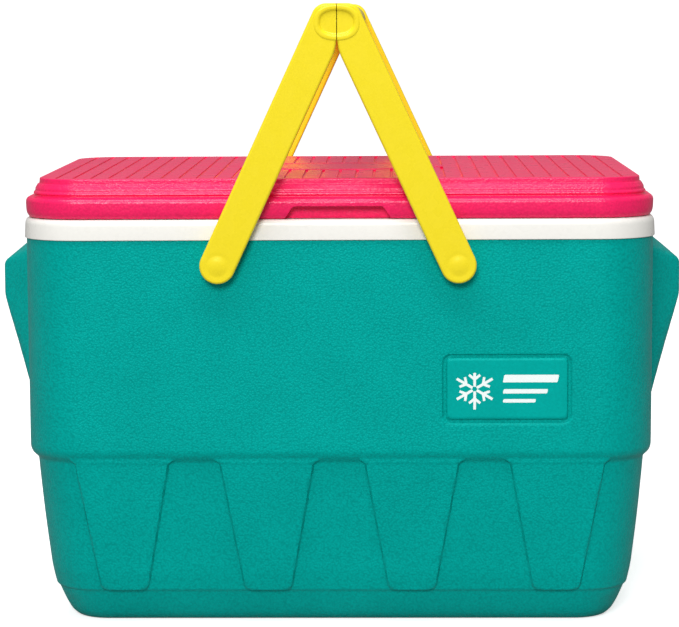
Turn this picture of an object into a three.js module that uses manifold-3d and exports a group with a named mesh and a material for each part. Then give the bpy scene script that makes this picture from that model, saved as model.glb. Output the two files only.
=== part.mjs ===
// A picnic cooler chest in the shape of a basket: an insulated tub, a lift-off lid and two bail handles that
// meet over the lid. Millimetres, +Z up, the front faces -Y, and the origin is at the centre of the base.
import * as THREE from 'three';
import { mergeVertices } from 'three/addons/utils/BufferGeometryUtils.js';
import { ConvexGeometry } from 'three/addons/geometries/ConvexGeometry.js';
import Module from 'manifold-3d';

const wasm = await Module();
wasm.setup();

// ---------------------------------------------------------------------------------------------------------
// Driving dimensions
// ---------------------------------------------------------------------------------------------------------
const GAP = 0.3; // clearance between pieces that touch
const LONGER_BY = 66; // how much further the tub reaches from its centre along X than along Y

const ARC_CENTRE = 176.5; // the rim's, the lid's and the upper tub's corners share arc centres this far along X
const TUB = { half: 215, wall: 2.3, shoulder: 119, skirt: 109, band: 22.6 };
const RIM = { half: 216.5, bottom: 267.2, top: 281, wall: 2.8 };
const CAVITY = { half: 197, floorHalf: 186, floor: 22, corner: 28, wall: 1.9 };
const LID = { half: 216, bottom: RIM.top + 0.4, top: 308, wall: 2.2 };
const PLUG = { half: 194.5, bottom: 262, corner: 28, wall: 1.8 };

const PANEL = { top: 66, foot: 32, pitch: 99, proud: 3, round: 5 };
const EAR = { reach: 241, crest: 265, crestEnd: 257, top: 244, bottom: 218, root: 128, faceHalf: 46, rootHalf: 64 };
const PLATE = { x: 114, z: 165.5, width: 88, height: 48, round: 6, channel: 3.6, depth: 1.3 };
const GROOVE = { count: 33, pitch: 12, width: 1.5, depth: 1, length: 262 };
const NOTCH = { top: 61, foot: 72, height: 8.6, depth: 9 };
const PAD = { halfX: 74, halfY: 42, proud: 0.6 };

const PIVOT = { x: 81, z: 250.5, bore: 5.25, stud: 4.95, cup: 8.7, flange: 11.4 };
const ARM = { half: 12.1, inner: 152.5, outer: 160.5, lean: THREE.MathUtils.degToRad(24.9), seam: 0.3, bevel: 1.2 };
const CROWN = { x: 7, radius: 9.9, top: 425.5 };
const BOSS = { proud: 0.5, width: 4.6, dish: 1 };
const GRIP = { halfWidth: 16, halfHeight: 12.6, centre: 412.8, tenon: 4, ribs: 5 };

// ---------------------------------------------------------------------------------------------------------
// Materials
// ---------------------------------------------------------------------------------------------------------
const plastic = (color, roughness) => new THREE.MeshStandardMaterial({ color, roughness, metalness: 0 });
const FINISH = {
  shell: plastic('#07a39b', 0.55),
  liner: plastic('#f4f2ec', 0.35),
  lid: plastic('#ee2e66', 0.45),
  handle: plastic('#f8dc2c', 0.35),
  socket: plastic('#e6e4dc', 0.4),
  foam: plastic('#e9dfb8', 0.95),
};

// ---------------------------------------------------------------------------------------------------------
// Solids
// ---------------------------------------------------------------------------------------------------------
function solid(geometry) {
  const bare = geometry.clone();
  for (const name of Object.keys(bare.attributes)) if (name !== 'position') bare.deleteAttribute(name);
  const merged = mergeVertices(bare, 1e-4);
  return new wasm.Manifold(new wasm.Mesh({
    numProp: 3,
    vertProperties: merged.attributes.position.array,
    triVerts: new Uint32Array(merged.index.array),
  }));
}

function geometryOf(manifold) {
  const mesh = manifold.getMesh();
  const geometry = new THREE.BufferGeometry();
  geometry.setAttribute('position', new THREE.BufferAttribute(mesh.vertProperties, 3));
  geometry.setIndex(new THREE.BufferAttribute(mesh.triVerts, 1));
  return geometry;
}

// The outline of a rounded rectangle, anticlockwise from above.
function roundedOutline(halfX, halfY, radius, steps = 6) {
  const outline = [];
  for (let corner = 0; corner < 4; corner++) {
    const cx = (corner === 0 || corner === 3 ? 1 : -1) * (halfX - radius);
    const cy = (corner < 2 ? 1 : -1) * (halfY - radius);
    for (let step = 0; step <= steps; step++) {
      const angle = (Math.PI / 2) * (corner + step / steps);
      outline.push([cx + radius * Math.cos(angle), cy + radius * Math.sin(angle)]);
    }
  }
  return outline;
}

// A solid through stacked rounded rectangles. Each level is [half length along X, z, corner radius]. Levels
// that run up face outwards, levels that run down face inwards, and the first and last are closed by a flat cap.
function loft(levels) {
  const rings = levels.map(([half, z, radius = half - ARC_CENTRE]) =>
    roundedOutline(half, half - LONGER_BY, radius).map(([x, y]) => [x, y, z]));
  const count = rings[0].length;
  const index = [];
  for (let level = 0; level + 1 < rings.length; level++) {
    for (let i = 0; i < count; i++) {
      const a = level * count + i;
      const b = level * count + ((i + 1) % count);
      index.push(a, b, b + count, a, b + count, a + count);
    }
  }
  const last = (rings.length - 1) * count;
  for (let i = 1; i + 1 < count; i++) {
    index.push(0, i + 1, i);
    index.push(last, last + i, last + i + 1);
  }
  const geometry = new THREE.BufferGeometry();
  geometry.setAttribute('position', new THREE.Float32BufferAttribute(rings.flat(2), 3));
  geometry.setIndex(index);
  return solid(geometry);
}

// The same levels moved out (or in) by a distance, for the face of a piece that lies against another.
const offset = (levels, by) => levels.map(([half, z, radius = half - ARC_CENTRE]) => [half + by, z, radius + by]);

// A shape drawn in the X-Z plane and pushed along Y from yLow to yHigh.
function prism(shape, yLow, yHigh, curveSegments = 6) {
  const geometry = new THREE.ExtrudeGeometry(shape, { depth: yHigh - yLow, bevelEnabled: false, curveSegments });
  geometry.rotateX(Math.PI / 2);
  geometry.translate(0, yHigh, 0);
  return solid(geometry);
}

function box(x0, x1, y0, y1, z0, z1) {
  const geometry = new THREE.BoxGeometry(x1 - x0, y1 - y0, z1 - z0);
  geometry.translate((x0 + x1) / 2, (y0 + y1) / 2, (z0 + z1) / 2);
  return solid(geometry);
}

// A turned piece on an axis along Z, from [radius, z] points that start and end on the axis, lowest first.
function turned(profile, segments = 20) {
  return solid(new THREE.LatheGeometry(profile.map(([r, z]) => new THREE.Vector2(r, z)), segments).rotateX(Math.PI / 2));
}

const disc = (radius, low, high) => turned([[0, low], [radius, low], [radius, high], [0, high]]);

// Puts a piece turned on Z, whose z counts distance out from the tub's middle, on a pivot axis along Y.
function onPivot(piece, sideX, sideY) {
  return piece.rotate([sideY < 0 ? 90 : -90, 0, 0]).translate([sideX * PIVOT.x, 0, PIVOT.z]);
}

// A shape with straight sides whose corners are rounded.
function roundedShape(points, radius) {
  const shape = new THREE.Shape();
  const corners = points.map(([x, y]) => new THREE.Vector2(x, y));
  corners.forEach((corner, i) => {
    const before = corners[(i + corners.length - 1) % corners.length];
    const after = corners[(i + 1) % corners.length];
    const from = corner.clone().add(before.clone().sub(corner).setLength(radius));
    const to = corner.clone().add(after.clone().sub(corner).setLength(radius));
    if (i === 0) shape.moveTo(from.x, from.y);
    else shape.lineTo(from.x, from.y);
    shape.quadraticCurveTo(corner.x, corner.y, to.x, to.y);
  });
  shape.closePath();
  return shape;
}

const rectangle = (x, z, width, height) => [
  [x - width / 2, z - height / 2], [x + width / 2, z - height / 2],
  [x + width / 2, z + height / 2], [x - width / 2, z + height / 2],
];

// ---------------------------------------------------------------------------------------------------------
// Tub: outer shell
// ---------------------------------------------------------------------------------------------------------
// Half length, height and corner radius of the shell's outside: the round out of the foot, base band, tapered
// skirt, shoulder and upright wall.
const SHELL_OUTSIDE = [
  [183.5, 0, 21], [188.6, 3.4, 25], [192.4, 9, 28], [195.8, 17, 31], [197.9, TUB.band - 0.6, 32],
  [199.6, TUB.band + 1.4, 33], [202.2, 36, 34], [206.4, 73, 35], [209.2, TUB.skirt, 36],
  [209.9, TUB.shoulder - 4.6, 36.2], [213.5, TUB.shoulder - 0.6, 37.6], [214.8, TUB.shoulder + 2.4, 38.4],
  [TUB.half, TUB.shoulder + 6], [TUB.half + 0.2, RIM.bottom - GAP],
];
const BASE_INSIDE = 5.6; // height of the shell's inner floor
const LIP = { outer: 213.3, inner: 211.8, top: 274 }; // the tongue that stands inside the rim's skirt
const UNDER_RIM = RIM.bottom - GAP;

const SHELL_INSIDE = [
  ...offset(SHELL_OUTSIDE.slice(1, -1), -TUB.wall).map(([half, z, radius]) => [half, Math.max(z, BASE_INSIDE), radius]),
  [TUB.half - TUB.wall, UNDER_RIM - 4], [LIP.inner, UNDER_RIM - 2],
];

const CORNERS = [[-1, -1], [1, -1], [-1, 1], [1, 1]];
const ENDS = [0, 180]; // turns that put a piece on the right-hand end and on the left-hand end

function hull(points) {
  return solid(new ConvexGeometry(points.map((point) => new THREE.Vector3(...point))));
}

function ear() {
  const root = TUB.half - 1;
  return hull([-1, 1].flatMap((side) => [
    [root, side * (EAR.rootHalf - 22), EAR.crest], [root, side * EAR.rootHalf, EAR.crestEnd],
    [EAR.reach - 1.5, side * EAR.faceHalf, EAR.top + 1], [EAR.reach, side * (EAR.faceHalf - 2), EAR.top - 2],
    [EAR.reach, side * (EAR.faceHalf - 2), EAR.bottom + 3], [EAR.reach - 0.8, side * EAR.faceHalf, EAR.bottom - 1],
    [root, side * EAR.rootHalf, EAR.root],
  ]));
}

// The finger space under an ear: open below, between two cheeks and behind the outer wall.
function earPocket() {
  const [near, far] = [TUB.half + 2.4, EAR.reach - 4];
  const half = EAR.faceHalf - 6;
  return hull([-1, 1].flatMap((side) => [
    [near, side * half, EAR.root - 10], [far, side * half, EAR.root - 10],
    [near, side * (half - 4), EAR.crest - 9], [far, side * half, EAR.top - 4.5],
  ]));
}

// Raised tapering panels between the shoulder and the base band, standing clear of the band at their feet.
function skirtPanels() {
  const skirt = SHELL_OUTSIDE.filter(([, z]) => z > TUB.band && z < TUB.shoulder);
  const sleeve = skirt.map(([half, z, radius]) => [Math.min(half + PANEL.proud, TUB.half - 1.8), z, radius]);
  const outline = (centre) => roundedShape([
    [centre - PANEL.foot / 2, TUB.band], [centre + PANEL.foot / 2, TUB.band],
    [centre + PANEL.top / 2, TUB.shoulder - 0.8], [centre - PANEL.top / 2, TUB.shoulder - 0.8],
  ], PANEL.round);
  const across = [-1.5, -0.5, 0.5, 1.5].map((n) => prism(outline(n * PANEL.pitch), -170, 170, 3));
  const along = [-0.5, 0.5].map((n) => prism(outline(n * PANEL.pitch), -250, 250, 3).rotate([0, 0, 90]));
  return wasm.Manifold.union([...across, ...along]).intersect(loft(sleeve));
}

function outerShell() {
  let shell = loft(SHELL_OUTSIDE).add(skirtPanels());
  for (const turn of ENDS) shell = shell.add(ear().rotate([0, 0, turn]));
  shell = shell.add(loft([[LIP.outer, UNDER_RIM - 2], [LIP.outer, LIP.top]]));
  shell = shell.subtract(loft([...SHELL_INSIDE, [LIP.inner, LIP.top + 1]]));
  for (const turn of ENDS) shell = shell.subtract(earPocket().rotate([0, 0, turn]));
  shell = shell.subtract(disc(FILLER.body + 0.4, -1, FILLER.seat)).subtract(disc(FILLER.bore, -1, 20));
  for (const [sx, sy] of CORNERS) {
    shell = shell.subtract(onPivot(disc(PIVOT.cup + GAP, 140, 156), sx, sy));
  }
  const inner = { width: PLATE.width - 2 * PLATE.channel, height: PLATE.height - 2 * PLATE.channel };
  const channel = roundedShape(rectangle(PLATE.x, PLATE.z, PLATE.width, PLATE.height), PLATE.round);
  channel.holes.push(roundedShape(rectangle(PLATE.x, PLATE.z, inner.width, inner.height), PLATE.round / 2));
  const face = -(TUB.half - LONGER_BY);
  return shell.subtract(prism(channel, face - 5, face + PLATE.depth, 4));
}

// ---------------------------------------------------------------------------------------------------------
// Tub: liner with its rim, insulation, filler plug and pivot sockets
// ---------------------------------------------------------------------------------------------------------
const FLOOR_ROUND = 16; // height of the bend between the cavity's floor and walls

// The cavity's faces from the middle of the floor up to below the rim.
const CAVITY_WALL = [
  [CAVITY.floorHalf - 14, CAVITY.floor, CAVITY.corner - 12],
  [CAVITY.floorHalf - 4, CAVITY.floor + 4, CAVITY.corner - 4],
  [CAVITY.floorHalf, CAVITY.floor + FLOOR_ROUND, CAVITY.corner],
  [CAVITY.half, RIM.top - 8, CAVITY.corner + 6],
];

function linerBack(by) {
  return offset(CAVITY_WALL, CAVITY.wall + by)
    .map(([half, z, radius], i) => [half, i === 0 ? z - CAVITY.wall - by : z - 0.6 * CAVITY.wall, radius]);
}

function innerLiner() {
  const skirtInside = RIM.half - RIM.wall;
  return loft([
    ...linerBack(0), [CAVITY.half + CAVITY.wall + 1, RIM.top - RIM.wall, CAVITY.corner + 8],
    [skirtInside, RIM.top - RIM.wall], [skirtInside, RIM.bottom],
    [RIM.half, RIM.bottom], [RIM.half - 0.7, RIM.top - 2], [RIM.half - 2.4, RIM.top],
    [CAVITY.half + 2, RIM.top, CAVITY.corner + 8], [CAVITY.half + 0.2, RIM.top - 2, CAVITY.corner + 6],
    ...[...CAVITY_WALL].reverse(),
  ]);
}

function bodyInsulation() {
  const tongue = LIP.inner - GAP;
  const skirtInside = RIM.half - RIM.wall - GAP;
  const under = RIM.top - RIM.wall - GAP;
  const inset = offset(SHELL_INSIDE, -GAP).map(([half, z, radius], i) => [half, i === 0 ? z + GAP : z, radius]);
  let foam = loft([...inset, [tongue, LIP.top + GAP], [skirtInside, LIP.top + GAP], [skirtInside, under]]);
  foam = foam.subtract(loft([...linerBack(GAP), [CAVITY.half + CAVITY.wall + 1.6, under + 1, CAVITY.corner + 8.6]]));
  for (const [sx, sy] of CORNERS) {
    foam = foam.subtract(onPivot(disc(PIVOT.cup + GAP, SOCKET.end - GAP, 150), sx, sy));
  }
  return foam.subtract(disc(FILLER.bore, 0, FILLER.depth + GAP));
}

// The plug that closes the hole the foam is poured through: a flush head on a stem.
const FILLER = { body: 15, bore: 11.6, stem: 11.2, seat: 2.6, depth: 10 };

function fillerPlug(base, seat, depth) {
  const { body, stem } = FILLER;
  return turned([[0, base], [body - 0.8, base], [body, base + 0.8], [body, seat], [stem, seat],
    [stem, depth - 1], [stem - 1, depth], [0, depth]]);
}

// A cup pressed through the wall. Its flange keeps the arm off the tub, and the groove inside holds the stud.
const SOCKET = { end: 136.6, face: ARM.inner - GAP, wallFace: TUB.half - LONGER_BY + 0.5, groove: 6.4 };

function pivotSocket() {
  const { end, face, wallFace, groove } = SOCKET;
  return turned([
    [0, end], [PIVOT.cup, end], [PIVOT.cup, wallFace], [PIVOT.flange, wallFace], [PIVOT.flange, face - 0.6],
    [PIVOT.flange - 0.6, face], [PIVOT.bore, face], [PIVOT.bore, 145], [groove, 144.2], [groove, 139.4], [0, 139.4],
  ]);
}

// ---------------------------------------------------------------------------------------------------------
// Lid
// ---------------------------------------------------------------------------------------------------------
// The outside from its lower edge: lower band, the groove between the tiers, upper tier and the raised top.
const LID_OUTSIDE = [
  [3, 0], [1.2, 2.6], [0.7, 7], [0.7, 11.6], [2.6, 13.5], [6.4, 14], [6.8, 14.9], [6.1, 15.9], [7.1, 17.6],
  [7.4, 19.6], [9.4, 22.8], [10.1, 23.4], [10.2, 26.2], [10.9, LID.top - LID.bottom],
].map(([inset, rise]) => [LID.half - inset, LID.bottom + rise]);

// The lid's hollow underside, up to below the top.
const LID_INSIDE = [
  [5, 0], [4.6, 2.6], [4.4, 10], [8.6, 14.4], [12.4, 21], [15, LID.top - LID.wall - LID.bottom],
].map(([inset, rise]) => [LID.half - inset, LID.bottom + rise]);

const LID_FRONT = -(LID.half - LONGER_BY);

function notchShape(grow) {
  const [low, high] = [LID.bottom - 1, LID.bottom + NOTCH.height + grow];
  return roundedShape([
    [-NOTCH.foot / 2 - grow, low], [NOTCH.foot / 2 + grow, low],
    [NOTCH.top / 2 + grow, high], [-NOTCH.top / 2 - grow, high],
  ], 1.5);
}

// The room that the notch and its walls take behind the lid's front, up to a height.
function notchRoom(clearance, top) {
  const half = NOTCH.foot / 2 + LID.wall + clearance;
  return box(-half, half, LID_FRONT - 5, LID_FRONT + NOTCH.depth + LID.wall + clearance, PLUG.bottom, top);
}

function lidShell() {
  let shell = loft(LID_OUTSIDE).subtract(loft([[LID.half - 5, LID.bottom - 1], ...LID_INSIDE]));
  const band = loft([[LID.half - 2.5, LID.bottom], [LID.half - 2.5, LID.bottom + 13]]);
  const walls = prism(notchShape(LID.wall), LID_FRONT, LID_FRONT + NOTCH.depth + LID.wall, 2);
  shell = shell.add(walls.intersect(band));
  shell = shell.subtract(prism(notchShape(0), LID_FRONT - 5, LID_FRONT + NOTCH.depth, 2));
  const cuts = [];
  for (let i = 0; i < GROOVE.count; i++) {
    const x = (i - (GROOVE.count - 1) / 2) * GROOVE.pitch;
    cuts.push(box(x - GROOVE.width / 2, x + GROOVE.width / 2, -GROOVE.length / 2, GROOVE.length / 2,
      LID.top - GROOVE.depth, LID.top + 1));
  }
  shell = shell.subtract(wasm.Manifold.union(cuts));
  const oval = new THREE.Shape().absellipse(0, 0, PAD.halfX, PAD.halfY, 0, 2 * Math.PI);
  const pad = new THREE.ExtrudeGeometry(oval, { depth: PAD.proud + 1.5, bevelEnabled: false, curveSegments: 20 });
  return shell.add(solid(pad.translate(0, 0, LID.top - 1.5)));
}

// The plug's faces from the middle of its underside up to its seat, and how far in its hollow side lies.
const PLUG_SIDE = [
  [PLUG.half - 12, PLUG.bottom, PLUG.corner - 8], [PLUG.half - 3.5, PLUG.bottom + 3, PLUG.corner - 2],
  [PLUG.half, RIM.top + GAP, PLUG.corner + 3],
];
const SEAT_TOP = RIM.top + GAP + PLUG.wall;

function plugHollow(by) {
  return offset(PLUG_SIDE, -PLUG.wall - by).map(([half, z, radius], i) => [half, i === 0 ? z + PLUG.wall + by : z + 1, radius]);
}

function lidLiner() {
  const flange = LID.half - 5 - GAP;
  const liner = loft([
    ...PLUG_SIDE, [flange, RIM.top + GAP], [flange, SEAT_TOP],
    [PLUG.half - PLUG.wall, SEAT_TOP, PLUG.corner + 1], ...plugHollow(0).reverse(),
  ]);
  return liner.subtract(notchRoom(GAP, LID.bottom + 12)).subtract(disc(FILLER.body + 0.4, 250, PLUG.bottom + 0.9))
    .subtract(disc(FILLER.bore, 250, 275));
}

function lidInsulation() {
  const above = offset(LID_INSIDE.slice(2), -GAP).map(([half, z, radius], i, all) =>
    [half, i === all.length - 1 ? z - GAP : z, radius]);
  const low = SEAT_TOP + GAP;
  const foam = loft([...plugHollow(GAP), [PLUG.half - PLUG.wall - GAP, low, PLUG.corner + 0.7],
    [above[0][0], low], ...above]);
  return foam.subtract(notchRoom(2 * GAP, LID.bottom + 13)).subtract(disc(FILLER.bore, 250, 272));
}

// ---------------------------------------------------------------------------------------------------------
// Bail handles, drawn as the right-hand one, which leans to the middle from its pivot at +X
// ---------------------------------------------------------------------------------------------------------
function armShape() {
  const { half, lean, seam } = ARM;
  const along = new THREE.Vector2(-Math.sin(lean), Math.cos(lean));
  const across = new THREE.Vector2(Math.cos(lean), Math.sin(lean));
  const inner = new THREE.Vector2(PIVOT.x, PIVOT.z).addScaledVector(across, -half);
  const reach = (inner.x - seam) / -along.x; // along the inner edge to the seam
  const bend = inner.clone().addScaledVector(along, reach - 6);
  const shape = new THREE.Shape();
  shape.moveTo(bend.x, bend.y);
  shape.lineTo(inner.x, inner.y);
  shape.absarc(PIVOT.x, PIVOT.z, half, Math.PI + lean, 2 * Math.PI + lean, false);
  shape.absarc(CROWN.x, CROWN.top - CROWN.radius, CROWN.radius, lean, Math.PI / 2, false);
  shape.lineTo(seam, CROWN.top);
  shape.lineTo(seam, inner.y + along.y * reach + 3);
  shape.closePath();
  return shape;
}

// The right half of the oval that the two grips make at the seam, grown or shrunk.
function gripShape(grow = 0) {
  const SQUARENESS = 2.4;
  const STEPS = 12;
  const power = (value) => Math.sign(value) * Math.abs(value) ** (2 / SQUARENESS);
  const points = [];
  for (let step = 0; step <= STEPS; step++) {
    const angle = -Math.PI / 2 + (Math.PI * step) / STEPS;
    const x = (GRIP.halfWidth + grow) * power(Math.cos(angle));
    points.push(new THREE.Vector2(Math.max(x, ARM.seam), GRIP.centre + (GRIP.halfHeight + grow) * power(Math.sin(angle))));
  }
  return new THREE.Shape(points);
}

// A cut along Y between two distances from the middle, on the front or on the rear.
function cut(shape, side, near, far) {
  return side < 0 ? prism(shape, -far, -near) : prism(shape, near, far);
}

function arm(side) {
  const { inner, outer, bevel } = ARM;
  const plateGeometry = new THREE.ExtrudeGeometry(armShape(), {
    depth: outer - inner - 2 * bevel, bevelThickness: bevel, bevelSize: bevel, bevelOffset: -bevel,
    bevelSegments: 2, curveSegments: 8,
  });
  plateGeometry.rotateX(Math.PI / 2);
  plateGeometry.translate(0, (side < 0 ? -inner : outer) - bevel, 0);
  let plate = solid(plateGeometry);
  plate = plate.add(cut(gripShape(-0.4), side, outer - 0.5, outer + BOSS.proud));
  plate = plate.subtract(cut(gripShape(-BOSS.width), side, outer - BOSS.dish, outer + 2));
  plate = plate.subtract(cut(gripShape(GAP - 1.8), side, inner - 1, inner + GRIP.tenon));
  plate = plate.subtract(onPivot(disc(STUD.head + GAP, inner - 2, STUD.outer + GAP), 1, side));
  return plate.add(onPivot(turned([[0, outer - 0.4], [9, outer - 0.4], [9, outer - 0.01], [6.6, outer + 0.3],
    [3.4, outer + 0.46], [0, outer + BOSS.proud]]), 1, side));
}

// The palm bar. It is cored out from the seam side with ribs left across the hollow, and its tenons fill the arms.
function grip(hand) {
  const { inner, seam } = ARM;
  const bare = inner - GAP;
  let bar = prism(gripShape(), -bare, bare);
  const tenonEnd = inner + GRIP.tenon - GAP;
  bar = bar.add(prism(gripShape(-1.8), -tenonEnd, tenonEnd));
  const coreEnd = 140;
  const bay = (2 * coreEnd) / GRIP.ribs;
  for (let i = 0; i < GRIP.ribs; i++) {
    const y = -coreEnd + i * bay;
    bar = bar.subtract(box(seam - 1, 9.5, y + 1.5, y + bay - 1.5, GRIP.centre - 7, GRIP.centre + 7));
  }
  for (const y of [-146, 146]) {
    // a peg on one half enters a wider hole in the other
    const peg = hand > 0 ? turned([[0, -2.2], [2.2, -2.2], [2.8, -1.4], [2.8, 2], [0, 2]]) : disc(4.4, -2, 3.4);
    const set = peg.rotate([0, 90, 0]).translate([seam, y, GRIP.centre]);
    bar = hand > 0 ? bar.add(set) : bar.subtract(set);
  }
  return bar;
}

// Pressed into the arm's back and turning in the socket, held by its split barb.
const STUD = { head: 6, outer: 157, barb: 5.85, end: 140.2 };

function pivotStud() {
  const { head, outer, barb, end } = STUD;
  const stud = turned([
    [0, end], [4, end], [barb, end + 1.8], [barb, end + 3.2], [PIVOT.stud, end + 3.4], [PIVOT.stud, ARM.inner - 0.1],
    [head, ARM.inner + GAP], [head, outer], [0, outer],
  ]);
  return stud.subtract(box(-8, 8, -0.6, 0.6, end - 1, end + 8));
}

// ---------------------------------------------------------------------------------------------------------
// Assembly
// ---------------------------------------------------------------------------------------------------------
const cooler = new THREE.Group();

function place(name, piece, material) {
  const mesh = new THREE.Mesh(geometryOf(piece), material);
  mesh.name = name;
  cooler.add(mesh);
}

place('outer_shell', outerShell(), FINISH.shell);
place('inner_liner', innerLiner(), FINISH.liner);
place('body_insulation', bodyInsulation(), FINISH.foam);
place('body_filler_plug', fillerPlug(0.4, FILLER.seat - GAP, FILLER.depth), FINISH.shell);

place('lid_shell', lidShell(), FINISH.lid);
place('lid_liner', lidLiner(), FINISH.liner);
place('lid_insulation', lidInsulation(), FINISH.foam);
place('lid_filler_plug', fillerPlug(PLUG.bottom - 0.8, PLUG.bottom + 0.6, 270), FINISH.liner);

for (const [sx, sy] of CORNERS) {
  const where = `${sy < 0 ? 'front' : 'rear'}_${sx < 0 ? 'left' : 'right'}`;
  place(`pivot_socket_${where}`, onPivot(pivotSocket(), sx, sy), FINISH.socket);
  place(`pivot_stud_${where}`, onPivot(pivotStud(), sx, sy), FINISH.handle);
  place(`bail_arm_${where}`, sx < 0 ? arm(sy).mirror([1, 0, 0]) : arm(sy), FINISH.handle);
}
place('bail_grip_left', grip(-1).mirror([1, 0, 0]), FINISH.handle);
place('bail_grip_right', grip(1), FINISH.handle);

export default cooler;
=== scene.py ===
"""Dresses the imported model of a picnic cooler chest: fine meshes and moulded-plastic finishes for its visible
pieces, and a small studio to look at it in.

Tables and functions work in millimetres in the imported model's frame, and MM turns them into Blender's metres.
"""

import math

import bmesh
import bpy
import numpy as np
from bpy.props import FloatProperty, FloatVectorProperty, IntProperty, PointerProperty
from mathutils import Matrix, Vector


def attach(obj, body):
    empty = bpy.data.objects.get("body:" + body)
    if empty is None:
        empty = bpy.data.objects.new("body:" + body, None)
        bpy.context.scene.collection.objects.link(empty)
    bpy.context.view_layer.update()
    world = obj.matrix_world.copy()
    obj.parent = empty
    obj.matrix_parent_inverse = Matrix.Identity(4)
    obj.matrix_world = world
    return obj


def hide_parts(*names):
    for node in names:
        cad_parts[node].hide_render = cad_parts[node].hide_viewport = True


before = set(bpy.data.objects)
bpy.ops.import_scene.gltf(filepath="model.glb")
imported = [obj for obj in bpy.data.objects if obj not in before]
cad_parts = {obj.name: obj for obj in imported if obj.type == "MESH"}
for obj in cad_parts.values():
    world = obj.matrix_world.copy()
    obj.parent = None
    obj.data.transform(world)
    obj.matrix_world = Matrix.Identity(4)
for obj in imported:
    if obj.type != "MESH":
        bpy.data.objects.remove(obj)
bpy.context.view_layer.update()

bl_info = {
    "name": "Picnic cooler chest",
    "version": (1, 0, 0),
    "blender": (4, 5, 0),
    "location": "3D View > Sidebar > Cooler",
    "description": "Builds the pieces and finishes of an insulated picnic cooler chest",
    "category": "Object",
}

MM = 0.001
LONGER_BY = 66.0  # how much further the chest reaches from its centre along X than along Y
ARC_CENTRE = 176.5  # the upper corners share arc centres this far along X
PIVOT = (81.0, 250.5)  # X and Z of the axis on which a bail turns
CORNERS = (("front", -1, "left", -1), ("front", -1, "right", 1), ("rear", 1, "left", -1), ("rear", 1, "right", 1))


def linear(red, green, blue):
    """A linear colour from 0-255 display values."""
    return tuple(((v / 255 + 0.055) / 1.055) ** 2.4 if v > 10 else v / 255 / 12.92 for v in (red, green, blue))


# ---------- Settings ----------
def length(name, description, millimetres):
    return FloatProperty(name=name, description=description, default=millimetres * MM, unit="LENGTH", precision=4)


def colour(name, description, red, green, blue):
    return FloatVectorProperty(
        name=name, description=description, default=linear(red, green, blue), subtype="COLOR", min=0, max=1
    )


class CoolerTubSizes(bpy.types.PropertyGroup):
    """Sizes of the tub's outside"""

    panel_top: length("Panel top", "Width of a skirt panel at the shoulder", 66)
    panel_foot: length("Panel foot", "Width of a skirt panel at the base band", 32)
    panel_pitch: length("Panel pitch", "Distance between the centres of neighbouring panels", 99)
    panel_proud: length("Panel height", "How far the panels stand out of the skirt", 3)
    plate_width: length("Plate width", "Width of the name plate over its channel", 88)
    plate_height: length("Plate height", "Height of the name plate over its channel", 48)
    plate_channel: length("Channel", "Width of the channel round the name plate", 3.6)


class CoolerLidSizes(bpy.types.PropertyGroup):
    """Sizes of the lid's details"""

    groove_count: IntProperty(name="Grooves", description="Number of grooves across the top", default=33, min=1)
    groove_pitch: length("Groove pitch", "Distance between the grooves", 12)
    groove_length: length("Groove length", "Front-to-back length of the grooves", 262)
    groove_width: length("Groove width", "Width of a groove at the top face", 2.4)
    pad_length: length("Pad length", "Length of the oval pad in the middle of the top", 148)
    pad_width: length("Pad width", "Width of the oval pad", 84)


class CoolerHandleSizes(bpy.types.PropertyGroup):
    """Sizes of the bail handles"""

    arm_width: length("Arm width", "Width of the flat arms", 24.2)
    arm_round: length("Arm edge", "Radius of the arms' edges", 1.7)
    grip_width: length("Grip width", "Width of the oval that the two grips make", 32)
    grip_height: length("Grip height", "Height of that oval", 25.2)
    rib_count: IntProperty(name="Hollows", description="Hollows between the ribs of a grip", default=5, min=1)


class CoolerColours(bpy.types.PropertyGroup):
    """Colours of the moulded plastics"""

    shell: colour("Shell", "Outer shell of the tub", 0, 155, 147)
    rim: colour("Rim", "Liner with the rim, and the lid's underside", 238, 236, 230)
    lid: colour("Lid", "Lid shell", 243, 28, 96)
    handle: colour("Handle", "Bail arms, grips and studs", 241, 219, 38)
    socket: colour("Socket", "Pivot sockets", 226, 222, 208)
    foam: colour("Foam", "Insulation between shell and liner", 233, 223, 184)
    mark: colour("Mark", "Printed mark on the name plate", 240, 248, 246)


class CoolerStudio(bpy.types.PropertyGroup):
    """Camera and light"""

    camera_place: FloatVectorProperty(
        name="Camera", description="Place of the camera", default=(0.0369, -1.933, 0.4207), subtype="TRANSLATION"
    )
    camera_turn: FloatVectorProperty(
        name="Camera turn", description="Rotation of the camera",
        default=tuple(math.radians(a) for a in (83.494, 0.298, 1.128)), subtype="EULER",
    )
    lens: FloatProperty(name="Lens", description="Focal length in millimetres on a 36 mm sensor", default=140.9)
    key: FloatProperty(name="Key light", description="Strength of the broad light from above the front", default=2.0)
    fill: FloatProperty(name="Fill light", description="Strength of the broad light from behind", default=0.5)
    softbox: FloatProperty(name="Softbox", description="Power of the softbox over the cooler", default=10, unit="POWER")
    surround: FloatProperty(name="Surround", description="Strength of the light from all round", default=0.28)
    floor_glow: FloatProperty(name="Floor glow", description="How much the lit table adds to the floor", default=0.6)
    backdrop: FloatProperty(name="Backdrop", description="Brightness of the backdrop seen directly", default=1.05)


GROUPS = {
    "cooler_tub": CoolerTubSizes,
    "cooler_lid": CoolerLidSizes,
    "cooler_handle": CoolerHandleSizes,
    "cooler_colours": CoolerColours,
    "cooler_studio": CoolerStudio,
}


# ---------- Meshes ----------
def smoothstep(low, high, value):
    t = np.clip((value - low) / (high - low), 0, 1)
    return t * t * (3 - 2 * t)


def linked(name, data):
    thing = bpy.data.objects.new(name, data)
    bpy.context.scene.collection.objects.link(thing)
    return thing


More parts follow.
